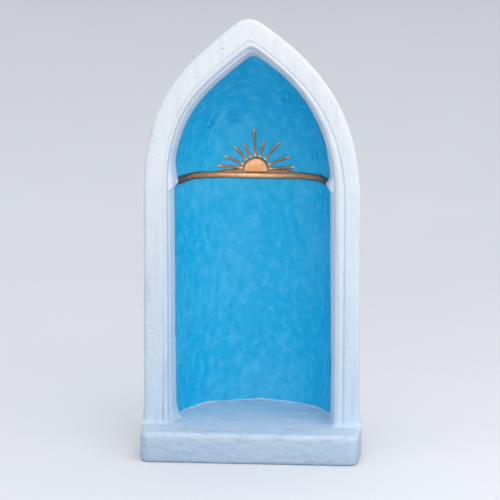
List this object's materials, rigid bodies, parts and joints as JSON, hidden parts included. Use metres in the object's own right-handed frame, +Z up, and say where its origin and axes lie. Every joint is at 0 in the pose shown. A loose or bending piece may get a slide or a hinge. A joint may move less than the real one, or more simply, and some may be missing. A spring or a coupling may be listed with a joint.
{
  "type": "statue grotto",
  "caption": "Free-standing garden statue grotto: a moulded lancet arch surround on a slab, with a half-round niche behind, a pointed half-dome and a raised rising sun over a horizon band.",
  "frame": {"origin": "on the ground, at the middle of the overall width and depth", "axes": "+X to the viewer's right, -Y out of the front, where the niche opens, +Z up"},
  "size_m": [0.39, 0.2808, 0.7618],
  "materials": {
    "white_paint": "matt white masonry paint on cast cement",
    "blue_paint": "matt sky blue paint on cast cement",
    "bronze_paint": "satin bronze paint on raised cement"
  },
  "bodies": {
    "root": {"plinth": "white_paint", "niche_floor": "white_paint", "floor_cove": "white_paint", "niche_wall": "white_paint", "niche_hood": "white_paint", "left_jamb": "white_paint", "right_jamb": "white_paint", "left_arch": "white_paint", "right_arch": "white_paint", "left_impost": "white_paint", "right_impost": "white_paint", "wall_lining": "blue_paint", "hood_lining": "blue_paint", "star_1": "blue_paint", "star_2": "blue_paint", "star_3": "blue_paint", "star_4": "blue_paint", "horizon_band": "bronze_paint", "sun_bed": "bronze_paint", "sun_disc": "bronze_paint", "sun_ray_1": "bronze_paint", "sun_ray_2": "bronze_paint", "sun_ray_3": "bronze_paint", "sun_ray_4": "bronze_paint", "sun_ray_5": "bronze_paint", "sun_ray_6": "bronze_paint", "sun_ray_7": "bronze_paint", "sun_ray_8": "bronze_paint", "sun_ray_9": "bronze_paint"}
  },
  "joints": []
}
